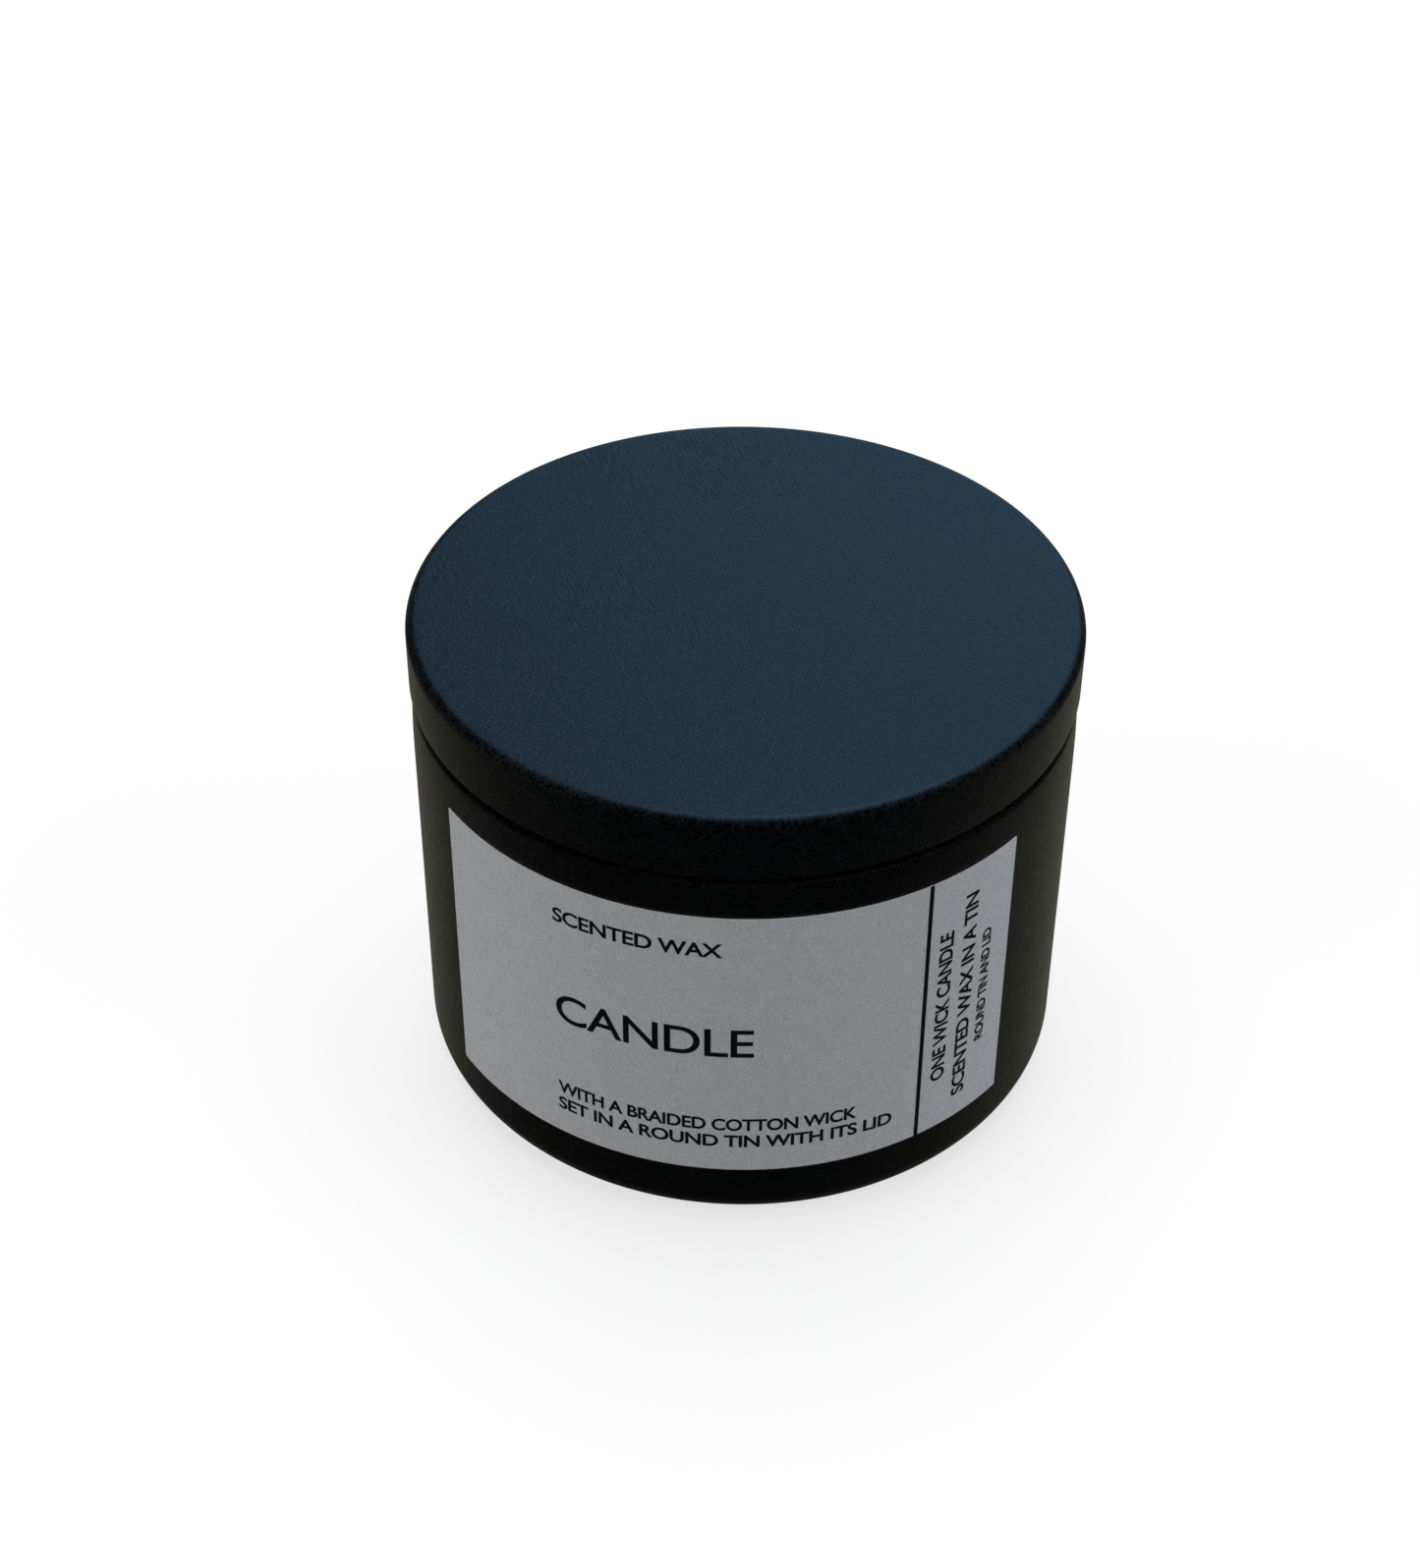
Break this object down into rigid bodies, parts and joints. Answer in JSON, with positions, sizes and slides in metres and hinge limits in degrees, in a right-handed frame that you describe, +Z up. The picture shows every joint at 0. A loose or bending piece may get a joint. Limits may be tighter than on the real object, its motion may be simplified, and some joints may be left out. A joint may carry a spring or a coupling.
{
  "type": "candle tin",
  "caption": "Round black steel tin with a slip-over lid and a paper label round its front, holding a poured candle with its wick.",
  "frame": {"origin": "centre of the flat ring that the tin stands on", "axes": "+Z up along the tin's axis, the way the lid lifts; the label's print faces -Y, and +X is to its reader's right"},
  "size_m": [0.078, 0.0781, 0.061],
  "materials": {
    "tin_paint": "satin",
    "lid_paint": "satin",
    "label_paper": "matte",
    "wax": "satin",
    "wick_cotton": "matte",
    "tinplate": "satin",
    "sticker_foam": "matte"
  },
  "bodies": {
    "tin": {"tin_body": "tin_paint", "front_label": "label_paper", "wax_fill": "wax", "wick": "wick_cotton", "wick_tab": "tinplate", "wick_tab_sticker": "sticker_foam"},
    "lid": {"tin_lid": "lid_paint"}
  },
  "joints": [
    {"name": "lid_lift", "type": "slide", "parent": "tin", "child": "lid", "axis": [0, 0, 1], "range_m": [0, 0.06]}
  ]
}
